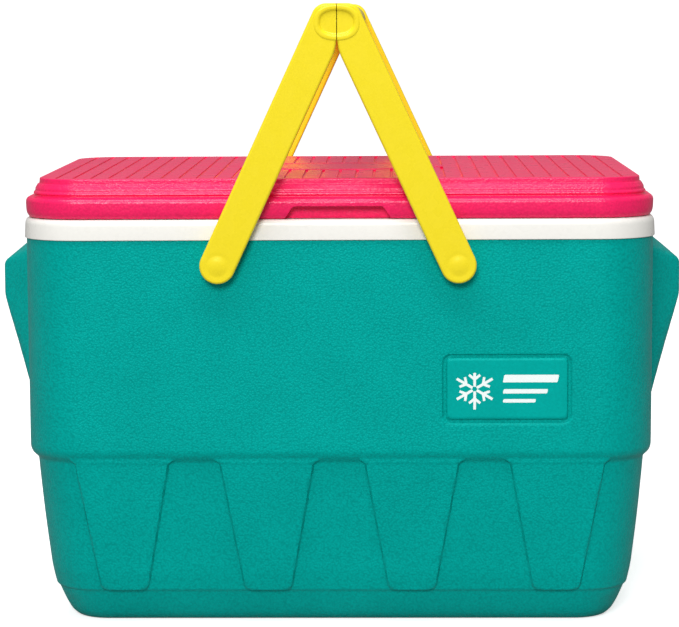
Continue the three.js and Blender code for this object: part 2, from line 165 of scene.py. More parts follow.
def new_piece(name, points, faces, sharp=42):
    """An object from points in millimetres, smooth except where faces meet at more than sharp degrees."""
    mesh = bpy.data.meshes.new(name)
    mesh.from_pydata((np.asarray(points, float) * MM).tolist(), [], faces)
    mesh.update()
    piece = linked(name, mesh)
    shade(piece, sharp)
    return piece


def shade(piece, sharp=42):
    piece.data.shade_smooth()
    piece.data.set_sharp_from_angle(angle=math.radians(sharp))


def ring_faces(rows, columns, closed, caps):
    """Quads between neighbouring rings. Rings that follow each other upwards, anticlockwise, face outwards."""
    row = np.arange(rows if closed else rows - 1)[:, None]
    column = np.arange(columns)[None, :]
    above, beside = (row + 1) % rows, (column + 1) % columns
    quads = np.stack([
        row * columns + column, row * columns + beside, above * columns + beside, above * columns + column,
    ], -1)
    faces = quads.reshape(-1, 4).tolist()
    if caps:
        faces.append(list(range(columns))[::-1])
        faces.append(list(range((rows - 1) * columns, rows * columns)))
    return faces


def ring_piece(name, rings, closed=False, caps=True, sharp=42):
    rings = np.asarray(rings, float)
    rows, columns = rings.shape[:2]
    return new_piece(name, rings.reshape(-1, 3), ring_faces(rows, columns, closed, caps and not closed), sharp)


def bend(start, corner, end, steps):
    """Points on a curve from start to end that leaves and arrives along the lines to the corner."""
    return [(1 - t) ** 2 * start + 2 * t * (1 - t) * corner + t * t * end for t in np.linspace(0, 1, steps + 1)]


def rounded_corner(before, corner, after, reach, steps):
    """The bend that replaces a corner. It starts and ends a reach away, or just short of half-way."""
    start, end = (corner + (other - corner) * min(0.48, reach / np.linalg.norm(other - corner))
                  for other in (before, after))
    return bend(start, corner, end, steps)


def softened(points, steps=5):
    """A section with rounded corners. The last number of each point is how far its round reaches."""
    places = [np.array(point[:-1], float) for point in points]
    out = [places[0]]
    for before, here, after, point in zip(places, places[1:], places[2:], points[1:]):
        out += rounded_corner(before, here, after, point[-1], steps) if point[-1] else [here]
    return np.array(out + [places[-1]])


def rounded_ring(half, z, corner, steps):
    """A rounded rectangle, anticlockwise from above, from its half length along X."""
    angles = (np.arange(4)[:, None] + np.linspace(0, 1, steps + 1)[None, :]) * math.pi / 2
    side_x, side_y = np.array([1, -1, -1, 1])[:, None], np.array([1, 1, -1, -1])[:, None]
    x = side_x * (half - corner) + corner * np.cos(angles)
    y = side_y * (half - LONGER_BY - corner) + corner * np.sin(angles)
    return np.stack([x.ravel(), y.ravel(), np.full(x.size, z)], 1)


def lofted(name, section, steps=18, sharp=42):
    """A closed piece through rounded rectangles, from (half length, z, corner radius, softness) levels."""
    return ring_piece(name, [rounded_ring(*level, steps) for level in softened(section)], sharp=sharp)


def upper(levels):
    """Levels whose corners share the rim's arc centres: (half length, z, softness)."""
    return [(half, z, half - ARC_CENTRE, soft) for half, z, soft in levels]


def turned(name, section, place=(0, 0, 0), side=0, segments=56, sharp=35):
    """A piece turned on Z through (radius, z, softness) points, or turned on Y, outwards on that side."""
    curve = softened(section, 4)
    angles = np.linspace(0, 2 * math.pi, segments, endpoint=False)
    rings = []
    for radius, z in curve:
        radius = max(radius, 0.02)
        ring = np.stack([radius * np.cos(angles), radius * np.sin(angles), np.full(segments, z)], 1)
        if side:
            ring = np.stack([ring[:, 0], side * ring[:, 2], -side * ring[:, 1]], 1)
        rings.append(ring + np.array(place))
    return ring_piece(name, rings, sharp=sharp)


def evaluated_mesh(piece):
    bpy.context.view_layer.update()
    return bpy.data.meshes.new_from_object(piece.evaluated_get(bpy.context.evaluated_depsgraph_get()))


def apply_modifiers(piece):
    mesh = evaluated_mesh(piece)
    piece.modifiers.clear()
    old, piece.data = piece.data, mesh
    bpy.data.meshes.remove(old)
    return piece


def combine(piece, tool, operation):
    """Cuts tool out of piece, or welds it on, and removes the tool."""
    modifier = piece.modifiers.new("combine", "BOOLEAN")
    modifier.operation = operation
    modifier.object = tool
    modifier.solver = "EXACT"
    apply_modifiers(piece)
    bpy.data.objects.remove(tool)
    if not piece.data.polygons:
        raise RuntimeError(f"{piece.name} came out empty")
    return piece


def even_shading(piece, sharp=32):
    """Lets the large faces set the normals, so flat plastic stays flat beside its rounded edges."""
    shade(piece, sharp)
    modifier = piece.modifiers.new("even shading", "WEIGHTED_NORMAL")
    modifier.keep_sharp = True
    return apply_modifiers(piece)


def recalc(piece):
    """Merges points that coincide and turns all faces outwards."""
    mesh = bmesh.new()
    mesh.from_mesh(piece.data)
    bmesh.ops.remove_doubles(mesh, verts=mesh.verts, dist=1e-7)
    bmesh.ops.recalc_face_normals(mesh, faces=mesh.faces)
    mesh.to_mesh(piece.data)
    mesh.free()


def mirror(piece, side_x, side_y):
    """Turns the right-hand rear shape into another corner's, facing outwards."""
    piece.data.transform(Matrix.Diagonal((side_x, side_y, 1, 1)))
    if side_x * side_y < 0:
        piece.data.flip_normals()


def plate(name, outline, low, high, edge=0.0, segments=4):
    """An outline in X-Z pushed along Y from low to high, with its front and rear edges rounded."""
    mesh = bmesh.new()
    ring = [mesh.verts.new((x * MM, low * MM, z * MM)) for x, z in outline]
    face = mesh.faces.new(ring)
    made = bmesh.ops.extrude_face_region(mesh, geom=[face])
    moved = [v for v in made["geom"] if isinstance(v, bmesh.types.BMVert)]
    bmesh.ops.translate(mesh, verts=moved, vec=(0, (high - low) * MM, 0))
    bmesh.ops.recalc_face_normals(mesh, faces=mesh.faces)
    if edge:
        rims = [e for e in mesh.edges if len({round(v.co.y, 7) for v in e.verts}) == 1]
        bmesh.ops.bevel(
            mesh, geom=rims, offset=edge * MM, segments=segments, profile=0.5, affect="EDGES", clamp_overlap=False
        )
    data = bpy.data.meshes.new(name)
    mesh.to_mesh(data)
    mesh.free()
    piece = linked(name, data)
    shade(piece)
    return piece


def arc(x, z, radius, start, end, steps):
    angles = np.linspace(start, end, steps + 1)
    return [(x + radius * math.cos(a), z + radius * math.sin(a)) for a in angles]


def rounded_outline(corners, reach, steps):
    """A polygon in X-Z with rounded corners."""
    places = [np.array(corner, float) for corner in corners]
    around = zip(places[-1:] + places[:-1], places, places[1:] + places[:1])
    return [tuple(point) for three in around for point in rounded_corner(*three, reach, steps)]


# ---------- Geometry Nodes ----------
class Tree:
    """A Geometry Nodes tree with named inputs."""

    def __init__(self, name, **inputs):
        self.group = bpy.data.node_groups.new(name, "GeometryNodeTree")
        face = self.group.interface
        face.new_socket("Geometry", in_out="INPUT", socket_type="NodeSocketGeometry")
        for title, default in inputs.items():
            kind = {bool: "NodeSocketBool", int: "NodeSocketInt", float: "NodeSocketFloat"}.get(type(default))
            socket = face.new_socket(title, in_out="INPUT", socket_type=kind or "NodeSocketMaterial")
            if kind:
                socket.default_value = default
        face.new_socket("Geometry", in_out="OUTPUT", socket_type="NodeSocketGeometry")
        self.inputs = self.add("NodeGroupInput").outputs
        self.output = self.add("NodeGroupOutput").inputs["Geometry"]

    def add(self, kind, values=None, **settings):
        """A node with its inputs set to values, joined to sockets, or joined to other nodes' first outputs."""
        node = self.group.nodes.new(kind)
        for key, value in settings.items():
            setattr(node, key, value)
        for key, value in (values or {}).items():
            if isinstance(value, bpy.types.Node):
                value = value.outputs[0]
            if isinstance(value, bpy.types.NodeSocket):
                self.group.links.new(value, node.inputs[key])
            else:
                node.inputs[key].default_value = value
        return node

    def math(self, operation, first, second):
        return self.add("ShaderNodeMath", {0: first, 1: second}, operation=operation)

    def vector(self, x=0.0, y=0.0, z=0.0):
        return self.add("ShaderNodeCombineXYZ", {"X": x, "Y": y, "Z": z})

    def finish(self, geometry):
        real = self.add("GeometryNodeRealizeInstances", {"Geometry": geometry})
        done = self.add("GeometryNodeSetMaterial", {"Geometry": real, "Material": self.inputs["Material"]})
        self.group.links.new(done.outputs[0], self.output)
        return self

    def run(self, piece, **values):
        """Runs the tree on a piece and keeps the result as its plain mesh."""
        modifier = piece.modifiers.new(self.group.name, "NODES")
        modifier.node_group = self.group
        for item in self.group.interface.items_tree:
            if item.in_out == "INPUT" and item.name in values:
                modifier[item.identifier] = values[item.name]
        apply_modifiers(piece)
        if not piece.data.polygons:
            raise RuntimeError(f"{self.group.name} made nothing")
        return piece


def cut_row(tree, cutter, along):
    """Cuts copies of the cutter out of the piece, in a row that is centred on the origin."""
    socket = tree.inputs
    span = tree.math("MULTIPLY", tree.math("SUBTRACT", socket["Count"], 1.0), socket["Pitch"])
    line = tree.add("GeometryNodeMeshLine", {
        "Count": socket["Count"],
        "Start Location": tree.vector(**{along: tree.math("MULTIPLY", span, -0.5)}),
        "Offset": tree.vector(**{along: socket["Pitch"]}),
    })
    copies = tree.add("GeometryNodeInstanceOnPoints", {"Points": line, "Instance": cutter})
    row = tree.add("GeometryNodeRealizeInstances", {"Geometry": copies})
    cut = tree.add("GeometryNodeMeshBoolean", {"Mesh 1": socket["Geometry"], "Mesh 2": row}, operation="DIFFERENCE")
    return tree.finish(cut)


def groove_tree():
    """Cuts a row of round-bottomed grooves, side by side along X, into the top of a piece."""
    tree = Tree("Lid grooves", Count=33, Pitch=0.012, Length=0.26, Radius=0.001, Height=0.308, Material=None)
    socket = tree.inputs
    front, rear = (tree.math("MULTIPLY", socket["Length"], share) for share in (-0.5, 0.5))
    bed = tree.add("GeometryNodeCurvePrimitiveLine", {
        "Start": tree.vector(y=front, z=socket["Height"]), "End": tree.vector(y=rear, z=socket["Height"]),
    })
    bar = tree.add("GeometryNodeCurvePrimitiveCircle", {"Resolution": 12, "Radius": socket["Radius"]})
    cutter = tree.add("GeometryNodeCurveToMesh", {"Curve": bed, "Profile Curve": bar, "Fill Caps": True})
    return cut_row(tree, cutter, "x")


def hollow_tree():
    """Cuts a row of boxes along Y into a piece, leaving a rib between neighbours."""
    tree = Tree("Grip hollows", Count=5, Pitch=0.056, Rib=0.003, Depth=0.0095, Height=0.014, Level=0.41, Material=None)
    socket = tree.inputs
    deep, long = tree.math("MULTIPLY", socket["Depth"], 2.0), tree.math("SUBTRACT", socket["Pitch"], socket["Rib"])
    box = tree.add("GeometryNodeMeshCube", {"Size": tree.vector(deep, long, socket["Height"])})
    lifted = tree.add("GeometryNodeTransform", {"Geometry": box, "Translation": tree.vector(z=socket["Level"])})
    return cut_row(tree, lifted, "y")


def frost_tree():
    """Repeats one arm of a frost star round its centre, in the X-Z plane."""
    tree = Tree("Frost star", Arms=6, X=0.0, Y=0.0, Z=0.0, Material=None)
    socket = tree.inputs
    arms = tree.add("GeometryNodeMeshLine", {"Count": socket["Arms"], "Offset": (0.0, 0.0, 0.0)})
    turn = tree.math("DIVIDE", 2 * math.pi, socket["Arms"])
    angle = tree.math("MULTIPLY", tree.add("GeometryNodeInputIndex"), turn)
    copies = tree.add("GeometryNodeInstanceOnPoints", {
        "Points": arms, "Instance": socket["Geometry"], "Rotation": tree.vector(y=angle),
    })
    return tree.finish(tree.add("GeometryNodeTransform", {
        "Geometry": copies, "Translation": tree.vector(socket["X"], socket["Y"], socket["Z"]),
    }))


# ---------- Finishes ----------
def moulded_plastic(name, tint, roughness, grain, depth, mottle_and_peak_highlight, ripple=0.0, smooth_mask=None, sheen=0.3, own_tint=0.6):
    """Moulded plastic: a pebbled or nearly smooth skin, faint mottling, a painted highlight on the pebbles' tops with
    painted shade between them, and uneven gloss.

    grain and depth are the pebbles' size and height and ripple the height of the slow waves under them, in
    millimetres. smooth_mask names a mesh attribute that is 1 where the skin is polished. own_tint is how much of the
    plastic's own colour its reflections take."""
    material = bpy.data.materials.new(name)
    material.use_nodes = True
    nodes, links = material.node_tree.nodes, material.node_tree.links
    shader = nodes["Principled BSDF"]
    place = nodes.new("ShaderNodeTexCoord").outputs["Object"]

    def noise(size, detail=3.0):
        node = nodes.new("ShaderNodeTexNoise")
        node.inputs["Scale"].default_value = 1 / (size * MM)
        node.inputs["Detail"].default_value = detail
        links.new(place, node.inputs["Vector"])
        return node.outputs["Fac"]

    def ranged(value, low, high):
        node = nodes.new("ShaderNodeMapRange")
        node.inputs["From Min"].default_value, node.inputs["From Max"].default_value = 0.3, 0.7
        node.inputs["To Min"].default_value, node.inputs["To Max"].default_value = low, high
        links.new(value, node.inputs["Value"])
        return node.outputs["Result"]

    def product(first, second):
        node = nodes.new("ShaderNodeMath")
        node.operation = "MULTIPLY"
        for socket, value in zip(node.inputs, (first, second)):
            if isinstance(value, bpy.types.NodeSocket):
                links.new(value, socket)
            else:
                socket.default_value = value
        return node.outputs[0]

    pebbles = nodes.new("ShaderNodeTexVoronoi")
    pebbles.feature = "SMOOTH_F1"
    pebbles.inputs["Scale"].default_value = 1 / (grain * MM)
    pebbles.inputs["Smoothness"].default_value = 0.7
    links.new(place, pebbles.inputs["Vector"])
    height = pebbles.outputs["Distance"]
    if smooth_mask:
        mask = nodes.new("ShaderNodeAttribute")
        mask.attribute_name = smooth_mask
        height = product(height, ranged(mask.outputs["Fac"], 1.0, 0.2))
    cloud = ranged(noise(38.0, 4.0), 1 - 0.4 * mottle_and_peak_highlight, 1 + 0.4 * mottle_and_peak_highlight)
    specks = ranged(noise(grain * 1.6, 2.0), 1 - 0.5 * mottle_and_peak_highlight, 1 + 0.5 * mottle_and_peak_highlight)
    # painted highlight and shade: the colour is lighter on the pebbles' tops and darker between them, standing in for
    # the light they catch; the specks are random tone
    specks_and_lit_peaks = product(ranged(height, 1 + mottle_and_peak_highlight, 1 - mottle_and_peak_highlight), specks)
    tinted = nodes.new("ShaderNodeVectorMath")
    tinted.operation = "SCALE"
    tinted.inputs[0].default_value = tint
    links.new(product(cloud, specks_and_lit_peaks), tinted.inputs["Scale"])
    links.new(tinted.outputs[0], shader.inputs["Base Color"])
    links.new(ranged(noise(9.0), roughness - 0.05, roughness + 0.05), shader.inputs["Roughness"])

    height = product(height, -1.0)
    skin = nodes.new("ShaderNodeBump")
    skin.inputs["Distance"].default_value = depth * MM
    links.new(height, skin.inputs["Height"])
    if ripple:
        waves = nodes.new("ShaderNodeBump")
        waves.inputs["Distance"].default_value = ripple * MM
        links.new(noise(14.0, 1.0), waves.inputs["Height"])
        links.new(waves.outputs[0], skin.inputs["Normal"])
    links.new(skin.outputs[0], shader.inputs["Normal"])
    shader.inputs["Specular IOR Level"].default_value = sheen
    shader.inputs["Specular Tint"].default_value = (*(1 - own_tint * (1 - part / max(tint)) for part in tint), 1)
    return material


# For each finish: the material's name, roughness, grain, depth, mottle (which also sets the painted highlight and shade
# on the pebbles) and ripple, and what else it sets.
FINISHES = {
    "shell": ("pebbled shell plastic", (0.44, 1.35, 0.26, 0.1, 0.05), {"smooth_mask": "polished", "own_tint": 0.9}),
    "rim": ("white liner plastic", (0.3, 2.5, 0.012, 0.008, 0.05), {}),
    "lid": ("grained lid plastic", (0.31, 1.5, 0.16, 0.06, 0.1), {"sheen": 0.5, "own_tint": 0.35}),
    "handle": ("satin handle plastic", (0.28, 1.4, 0.02, 0.012, 0.04), {"sheen": 0.5}),
    "socket": ("socket plastic", (0.45, 1.0, 0.02, 0.015, 0.0), {}),
    "foam": ("insulation foam", (0.9, 0.8, 0.25, 0.1, 0.0), {}),
    "mark": ("white print", (0.45, 0.7, 0.01, 0.02, 0.0), {}),
}


def finish(key):
    """The finish of that name, made when it is first asked for."""
    name, skin, extras = FINISHES[key]
    tint = getattr(bpy.context.scene.cooler_colours, key)
    return bpy.data.materials.get(name) or moulded_plastic(name, tint, *skin, **extras)


def seat(piece, body, slot, *nodes, look=None):
    """Gives a finished piece its look, chosen by its slot unless another look is named, parents it to its body and
    hides the CAD nodes that it stands for.
    """
    piece.data.materials.clear()
    piece.data.materials.append(finish(look or slot))
    for face in piece.data.polygons:
        face.material_index = 0
    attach(piece, body)
    if nodes:
        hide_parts(*nodes)
    return piece


def coat(node, look):
    """Gives a CAD node that stays as it is a finish."""
    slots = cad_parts[node].material_slots
    if not slots:
        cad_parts[node].data.materials.append(finish(look))
    for slot in slots:
        slot.material = finish(look)


# ---------- Tub: outer shell ----------
# Half length, height, corner radius and softness of the outside, from the base to the top edge.
SHELL_SECTION = [
    (160, 0, 14, 0), (184.3, 0, 21.5, 3), (189.4, 4.2, 26, 3.5), (193.0, 10.5, 29, 4), (196.2, 18, 31.2, 3),
    (197.8, 22.2, 32, 0.7), (199.6, 24.0, 32.8, 0.7), (202.2, 36, 33.7, 5), (206.4, 73, 35, 18),
    (209.2, 105, 36, 9), (209.9, 114.4, 36.2, 1.3), (213.6, 118.4, 37.6, 1.1), (214.9, 121.6, 38.4, 1.6),
    (215.0, 128, 38.5, 2), (215.2, 266.8, 38.7, 0),
]
FOOT_TOP = 21.0  # below this height the rows follow the section, above it they are spread by height
UPRIGHT_FROM = 15.0  # above this height the section never turns back down
ROW_COUNT = 146
# Heights where the rows gather, with strength and reach: base step, panel tops, shoulder, plate edges, end grips.
ROW_PEAKS = [(24, 5, 3.2), (113, 3, 3.5), (119.5, 3, 4), (143.3, 3.5, 2.6), (187.7, 3.5, 2.6), (216, 1.2, 46)]
LONG_COUNT, SHORT_COUNT = 138, 104  # points along a long side and along an end
SHELL_LIP = [(213.3, 266.8), (213.3, 274.0), (211.8, 274.0), (211.8, 265.5)]
SHELL_WALL = 2.3
BASE_INSIDE = 5.6
# Half length, height and corner radius of the outside where the inside follows it, from above down.
SHELL_INSIDE = [
    (215.0, 255, 38.5), (215.0, 126, 38.5), (210.3, 116, 36.2), (207.1, 73, 35), (203.2, 36, 33.7), (198.8, 20, 31.5),
    (194.0, 9.5, 28.5), (188.0, BASE_INSIDE, 24),
]
SKIRT = (23.2, 118.2)  # lowest and highest point of the panels
FLARE = {"from": 111.8, "radius": 4.5}  # where the panels' edges start to curve outwards below the shoulder
PANEL_CORNER, PLATE_CORNER = 5.0, 6.0
CHANNEL = {"depth": 1.5, "edge": 1.0, "field": 0.35}  # the groove round the name plate, and the plate's own height
PANEL_REACH = 213.2  # half length at which the panels' faces meet the shoulder
PLATE_CENTRE = (114.0, 165.5)
FILLER = {"recess": 15.4, "bore": 11.6, "shelf": 2.6}  # radii of the filler hole, and height of its shelf

# The end grip, or ear: a hood that is open below, with a cheek at each end. Its sections through the finger hollow
# and through a cheek's inner edge run from below upwards, as (x, z), at the same shares of the rows.
EAR_ZONE = (126.0, 266.0)
EAR_SHARE = [0, 0.02, 0.34, 0.42, 0.52, 0.56, 0.6, 0.74, 0.78, 0.97, 1]
EAR_HOLLOW = [(215.1, 126), (217.3, 131), (217.4, 251), (236.6, 240), (236.9, 218), (240.2, 217), (241, 221),
              (241, 242), (239.5, 245), (215.1, 265), (215.1, 266)]
EAR_CHEEK_LEVELS = [126, 128.5, 184, 195, 209, 217, 221, 242, 245, 265, 266]
EAR_PROFILE = [(128, 214), (217, 240.2), (221, 241), (242, 241), (245, 239.5), (265, 214), (270, 207)]
EAR_SIDE = {"hollow": 39.8, "cheek": 41.3, "face": 46.0, "root": 64.0, "fade": 84.0}  # distances from its middle
EAR_ROOT, EAR_SLOPE = 214.0, 1.456  # where a side meets the wall, and how fast it comes out
EAR_SHARPNESS = 2.4  # how crisply the ear's planes meet
EAR_PEAKS = ((40.5, 5, 1.4), (46, 3, 2), (63, 1.5, 4))  # where the points along an end gather: place, strength, reach


def spread(low, high, count, peaks):
    """Places from low towards high, closer together near each (place, strength, reach)."""
    fine = np.linspace(low, high, 1600)
    density = np.ones_like(fine)
    for place, strength, reach in peaks:
        density += strength * np.exp(-(((fine - place) / reach) ** 2))
    total = np.concatenate([[0], np.cumsum((density[1:] + density[:-1]) / 2)])
    return np.interp(np.linspace(0, total[-1], count + 1), total, fine)


def shell_rows():
    """Half length, height and corner radius of each row of the outside."""
    section = softened(SHELL_SECTION)
    half, z, corner = section[section[:, 1] >= UPRIGHT_FROM].T
    heights = spread(FOOT_TOP, SHELL_SECTION[-1][1], ROW_COUNT, ROW_PEAKS)
    rows = np.stack([np.interp(heights, z, half), heights, np.interp(heights, z, corner)], 1)
    return np.concatenate([section[section[:, 1] < FOOT_TOP], rows])


def panel_half(z, sizes):
    """Half the width of a panel at a height. It flares where it meets the shoulder."""
    foot, top = sizes.panel_foot / MM / 2, sizes.panel_top / MM / 2
    share = min(max((z - SKIRT[0]) / (SKIRT[1] - SKIRT[0]), 0), 1)
    radius = FLARE["radius"]
    flare = radius - math.sqrt(radius ** 2 - min(max(z - FLARE["from"], 0), radius - 0.2) ** 2)
    return foot + (top - foot) * share + flare


def panel_distance(across, z, centres, sizes):
    """Signed distance to the edge of the nearest panel, negative inside it."""
    nearest = np.abs(across[:, None] - np.array(centres)[None, :]).min(1)
    side, end, corner = nearest - panel_half(z, sizes), SKIRT[0] - z, PANEL_CORNER
    outside = np.hypot(np.maximum(side + corner, 0), max(end + corner, 0)) - corner
    return outside + np.minimum(np.maximum(side + corner, end + corner), 0)


def plate_distance(across, z, sizes):
    """Signed distance to the outline of the name plate."""
    dx = np.abs(across - PLATE_CENTRE[0]) - sizes.plate_width / MM / 2 + PLATE_CORNER
    dz = abs(z - PLATE_CENTRE[1]) - sizes.plate_height / MM / 2 + PLATE_CORNER
    return np.hypot(np.maximum(dx, 0), max(dz, 0)) - PLATE_CORNER + np.minimum(np.maximum(dx, dz), 0)


def panel_edges(z, centres, sizes):
    """Where one row's points gather: at the edges of the panels."""
    strength = 4.2 * float(smoothstep(8, 20, z) * (1 - smoothstep(119, 133, z)))
    return [(centre + side * panel_half(z, sizes), strength, 1.7) for centre in centres for side in (-1, 1)]


def side_outline(half, other, corner, count, peaks):
    """Places along one side as far as the middle of its corners: distance along it, distance out and normal."""
    straight = half - corner
    reach = straight + corner * math.pi / 4
    path = spread(-reach, reach, count, peaks)[:-1]
    angle = np.clip((np.abs(path) - straight) / corner, 0, None)
    along = np.sign(path) * (np.minimum(np.abs(path), straight) + corner * np.sin(angle))
    out = other - corner + corner * np.cos(angle)
    return along, out, np.sign(path) * np.sin(angle), np.cos(angle)


def relief(along, half, z, centres, sizes, plate_here):
    """How far the surface stands out of its plain section, and how polished it is."""
    edge = panel_distance(along, z, centres, sizes)
    proud = min(max(PANEL_REACH - half, 0), sizes.panel_proud / MM)
    out = proud * smoothstep(-0.5, 1.1, -edge)
    polish = np.zeros_like(along)
    if plate_here:
        channel, edge = sizes.plate_channel / MM, CHANNEL["edge"]
        inward = -plate_distance(along, z, sizes)
        inside = smoothstep(channel - 0.1 - edge, channel - 0.1, inward)
        out += CHANNEL["field"] * inside - CHANNEL["depth"] * smoothstep(0, edge, inward) * (1 - inside)
        polish = smoothstep(channel - 0.6, channel + 0.2, inward)
    return out, polish


def ear_face(distance, z, wall):
    """How far along X the ear's outside reaches, at distances from its middle and at heights."""
    levels, reaches = zip(*EAR_PROFILE)
    below = np.interp(z, levels, reaches) - 60 * np.clip(levels[0] - z, 0, None)
    side = EAR_ROOT + (EAR_SIDE["root"] - distance) * EAR_SLOPE
    shoulder = 599.375 - 0.5 * distance - 1.375 * z  # the slanting facet between top and side
    sharp = EAR_SHARPNESS
    face = -np.log(sum(np.exp(-sharp * (plane - wall)) for plane in (below, side, shoulder))) / sharp
    return wall + np.log1p(np.exp(sharp * face)) / sharp


def ear_places(distance, share, level, wall):
    """The (x, z) of points at distances from an ear's middle, for a row's share of the ear's zone."""
    fade = smoothstep(EAR_SIDE["face"], EAR_SIDE["fade"], distance)
    z = np.interp(share, EAR_SHARE, EAR_CHEEK_LEVELS) * (1 - fade) + level * fade
    x = ear_face(np.maximum(distance, EAR_SIDE["cheek"]), z, wall)
    hollow = 1 - np.clip((distance - EAR_SIDE["hollow"]) / (EAR_SIDE["cheek"] - EAR_SIDE["hollow"]), 0, 1)
    inner_x = np.interp(share, EAR_SHARE, [p[0] for p in EAR_HOLLOW])
    inner_z = np.interp(share, EAR_SHARE, [p[1] for p in EAR_HOLLOW])
    return x + (inner_x - x) * hollow, z + (inner_z - z) * hollow


def soften_ears(grid, columns, rows):
    """Rounds the ears' edges and roots by easing each point towards its neighbours."""
    near = np.zeros(grid.shape[:2])
    for start, count in columns:
        distance = np.abs(grid[rows, start:start + count, 1])
        near[rows, start:start + count] = 1 - smoothstep(70, 80, distance)
    near[:rows.start + 1] = 0
    near[rows.stop - 1:] = 0
    around = sum(np.roll(grid, step, axis) for axis in (0, 1) for step in (1, -1)) / 4
    grid += 0.55 * near[..., None] * (around - grid)


def detail_edges(z, sizes):
    """Where one row's points gather on the front and on the ends: at the name plate's and the ears' edges."""
    plate_peak = 4.5 * float(smoothstep(128, 140, z) * (1 - smoothstep(191, 203, z)))
    half_plate = (sizes.plate_width - sizes.plate_channel) / MM / 2
    ear_peak = float(smoothstep(116, 130, z))
    front = [(PLATE_CENTRE[0] + side * half_plate, plate_peak, 3.0) for side in (-1, 1)]
    ends = [(side * place, strength * ear_peak, reach) for side in (-1, 1) for place, strength, reach in EAR_PEAKS]
    return front, ends


def shell_grid(sizes):
    """The shell's outside, row by row from the base up: front, right, rear and left side in turn."""
    long_centres, short_centres = ([n * sizes.panel_pitch / MM for n in places]
                                   for places in ((-1.5, -0.5, 0.5, 1.5), (-0.5, 0.5)))
    rows = shell_rows()
    in_ear = np.where((rows[:, 1] >= EAR_ZONE[0]) & (rows[:, 1] <= EAR_ZONE[1]))[0]
    grid, polish = [], []
    for i, (half, z, corner) in enumerate(rows):
        plate_edges, ear_edges = detail_edges(z, sizes)
        ring, shine = [], []
        for side in range(4):
            ends = side % 2
            centres, count = (short_centres, SHORT_COUNT) if ends else (long_centres, LONG_COUNT)
            peaks = panel_edges(z, centres, sizes) + (ear_edges if ends else plate_edges if side == 0 else [])
            across, other = (half - LONGER_BY, half) if ends else (half, half - LONGER_BY)
            along, out, lean, face = side_outline(across, other, corner, count, peaks)
            high, bright = relief(along, half, z, centres, sizes, side == 0)
            level = np.full_like(along, z)
            if ends and i in in_ear:
                share = (i - in_ear[0]) / (len(in_ear) - 1)
                ear_x, ear_z = ear_places(np.abs(along), share, z, half)
                flat = np.abs(along) < EAR_SIDE["fade"]
                out, level = np.where(flat, ear_x, out), np.where(flat, ear_z, level)
            u, v = along + lean * high, out + face * high
            turn = ((1, 0, 0, -1), (0, 1, 1, 0), (-1, 0, 0, 1), (0, -1, -1, 0))[side]
            ring.append(np.stack([turn[0] * u + turn[1] * v, turn[2] * u + turn[3] * v, level], 1))
            shine.append(bright)
        grid.append(np.concatenate(ring))
        polish.append(np.concatenate(shine))
    grid = np.array(grid)
    ear_columns = [(LONG_COUNT, SHORT_COUNT), (2 * LONG_COUNT + SHORT_COUNT, SHORT_COUNT)]
    soften_ears(grid, ear_columns, slice(in_ear[0], in_ear[-1] + 1))
    return grid, np.array(polish)


def plain_ring(model, half, z, corner):
    """A ring of the plain section with its points at the same share of the outline as the model ring's."""
    angle = np.arctan2(model[:, 1], model[:, 0])
    across, deep = half - corner, half - LONGER_BY - corner
    x, y = np.clip(model[:, 0], -across, across), np.clip(model[:, 1], -deep, deep)
    away = model[:, :2] - np.stack([x, y], 1)
    long = np.linalg.norm(away, axis=1)
    radial = np.stack([np.cos(angle), np.sin(angle)], 1)
    away = np.where(long[:, None] > 1e-6, away / np.maximum(long, 1e-6)[:, None], radial)
    return np.stack([x + corner * away[:, 0], y + corner * away[:, 1], np.full(len(model), z)], 1)


def circle_ring(model, radius, z):
    angle = np.arctan2(model[:, 1], model[:, 0])
    return np.stack([radius * np.cos(angle), radius * np.sin(angle), np.full(len(model), z)], 1)


def build_shell(sizes):
    outside, polish = shell_grid(sizes)
    base, crown = outside[0], outside[-1]
    lip = [plain_ring(crown, half, z, half - ARC_CENTRE) for half, z in SHELL_LIP]
    inside = [plain_ring(crown, half - SHELL_WALL, z, corner - SHELL_WALL) for half, z, corner in SHELL_INSIDE]
    bore, recess, shelf = FILLER["bore"], FILLER["recess"], FILLER["shelf"]
    well = [circle_ring(base, radius, z) for radius, z in (
        (bore, BASE_INSIDE), (bore, shelf), (recess, shelf), (recess, 0.5), (recess + 0.5, 0.0))]
    rings = np.concatenate([outside, np.array(lip + inside + well)])
    shell = ring_piece("tub", rings, closed=True, sharp=50)
    mask = shell.data.attributes.new("polished", "FLOAT", "POINT")
    values = np.zeros(rings.shape[0] * rings.shape[1], np.float32)
    values[:polish.size] = polish.ravel()
    mask.data.foreach_set("value", values)
    for front, side_y, _, side_x in CORNERS:
        hole = turned("hole", [(0, 140, 0), (9, 140, 0), (9, 156, 0), (0, 156, 0)],
                      (side_x * PIVOT[0], 0, PIVOT[1]), side_y, segments=40)
        combine(shell, hole, "DIFFERENCE")
    shade(shell, 50)
    return shell


def filler_plug(name, face, shelf, top):
    """A plug with a wide head, from the height of its face, of the head's upper side and of its top."""
    return turned(name, [
        (0, face, 0), (13.9, face, 0), (15, face + 0.9, 0.6), (15, shelf, 0.2), (11.2, shelf, 0.2),
        (11.2, top - 1, 0.3), (10.2, top, 0.3), (0, top, 0),
    ])


